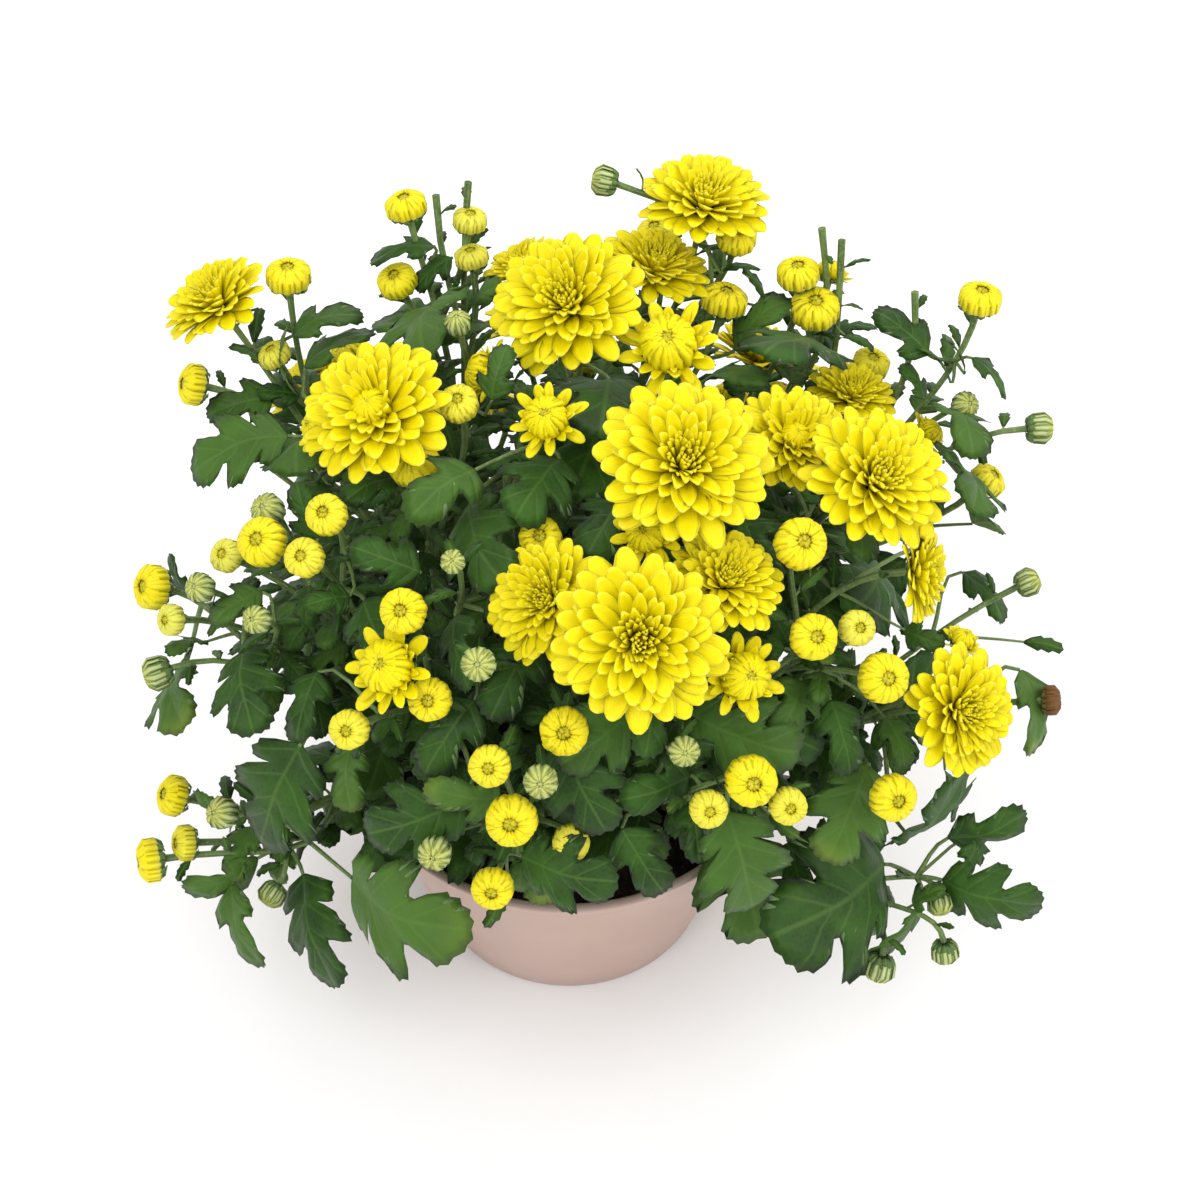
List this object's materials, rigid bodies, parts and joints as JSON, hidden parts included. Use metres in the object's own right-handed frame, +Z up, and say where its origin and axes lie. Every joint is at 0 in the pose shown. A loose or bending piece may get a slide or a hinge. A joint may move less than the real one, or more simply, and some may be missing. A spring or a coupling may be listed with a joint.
{
  "type": "pot chrysanthemum",
  "caption": "Pot chrysanthemum in a tapered plastic pot: double yellow blooms, half-open blooms, buds and lobed leaves on branching stems.",
  "frame": {"origin": "middle of the underside of the pot", "axes": "+Z up the pot, +X to the viewer's right, -Y towards the viewer"},
  "size_m": [0.2898, 0.2247, 0.2525],
  "materials": {
    "pot_plastic": "satin",
    "peat": "matte",
    "foliage": "satin",
    "petals": "satin"
  },
  "bodies": {
    "root": {"pot": "pot_plastic", "soil": "peat", "leafy_stem_1": "foliage", "leafy_stem_2": "foliage", "leafy_stem_3": "foliage", "leafy_stem_4": "foliage", "leafy_stem_5": "foliage", "leafy_stem_6": "foliage", "bloom_01": "petals", "bloom_02": "petals", "bloom_03": "petals", "bloom_04": "petals", "bloom_05": "petals", "bloom_06": "petals", "bloom_07": "petals", "bloom_08": "petals", "bloom_09": "petals", "bloom_10": "petals", "bloom_11": "petals", "bloom_12": "petals", "bloom_13": "petals", "bloom_14": "petals", "bloom_15": "petals", "bloom_16": "petals", "bloom_17": "petals", "bloom_18": "petals", "bloom_19": "petals", "bloom_20": "petals", "bloom_21": "petals", "bloom_22": "petals", "bloom_23": "petals", "bloom_24": "petals", "bloom_25": "petals", "bloom_26": "petals", "bloom_27": "petals", "bloom_28": "petals", "bloom_29": "petals", "bloom_30": "petals", "bloom_31": "petals", "bloom_32": "petals", "bloom_33": "petals"}
  },
  "joints": []
}
